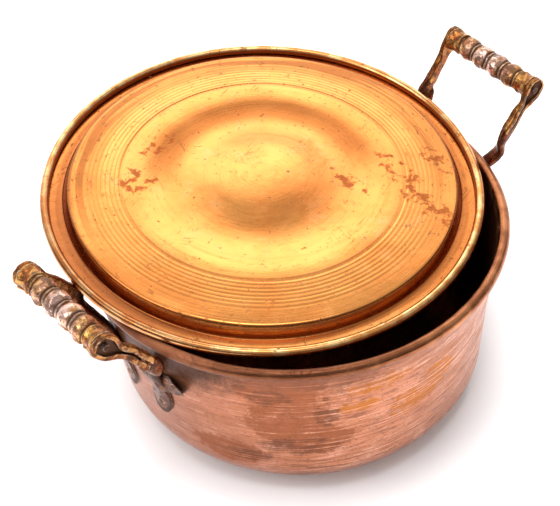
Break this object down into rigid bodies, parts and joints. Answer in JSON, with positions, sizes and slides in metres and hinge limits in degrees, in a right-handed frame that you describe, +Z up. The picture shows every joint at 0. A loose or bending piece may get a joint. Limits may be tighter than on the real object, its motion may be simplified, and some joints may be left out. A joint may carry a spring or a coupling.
{
  "type": "two-handled cooking pot",
  "caption": "Round copper cooking pot with rolled rim, riveted brass loop handles with turned beaded grips, and a loose ridged lid lying askew on top.",
  "frame": {"origin": "centre of the pot's flat base, on the surface it stands on", "axes": "+Z up along the pot's axis, +X towards the right handle, +Y towards the side where the lid overhangs the rim"},
  "size_m": [0.3287, 0.2781, 0.1615],
  "materials": {
    "pot_copper": "brushed copper sheet with brown patina",
    "lid_copper": "polished copper sheet with golden patina and fine spun rings",
    "wire_iron": "plain drawn wire",
    "handle_brass": "aged cast brass, dark in the grooves",
    "rivet_copper": "hammered"
  },
  "bodies": {
    "pot": {"pot_body": "pot_copper", "pot_rim_wire": "wire_iron", "right_grip": "handle_brass", "right_grip_rod": "handle_brass", "right_ferrule_front": "handle_brass", "right_ferrule_rear": "handle_brass", "right_arm_front": "handle_brass", "right_arm_rear": "handle_brass", "right_bracket_front": "handle_brass", "right_bracket_rear": "handle_brass", "right_foot_rivets": "rivet_copper", "left_grip": "handle_brass", "left_grip_rod": "handle_brass", "left_ferrule_front": "handle_brass", "left_ferrule_rear": "handle_brass", "left_arm_front": "handle_brass", "left_arm_rear": "handle_brass", "left_bracket_front": "handle_brass", "left_bracket_rear": "handle_brass", "left_foot_rivets": "rivet_copper"},
    "lid": {"lid_body": "lid_copper", "lid_rim_wire": "wire_iron"}
  },
  "joints": [
    {"name": "lid_lift", "type": "slide", "parent": "pot", "child": "lid", "axis": [0, 0, 1], "range_m": [0, 0.25]}
  ]
}
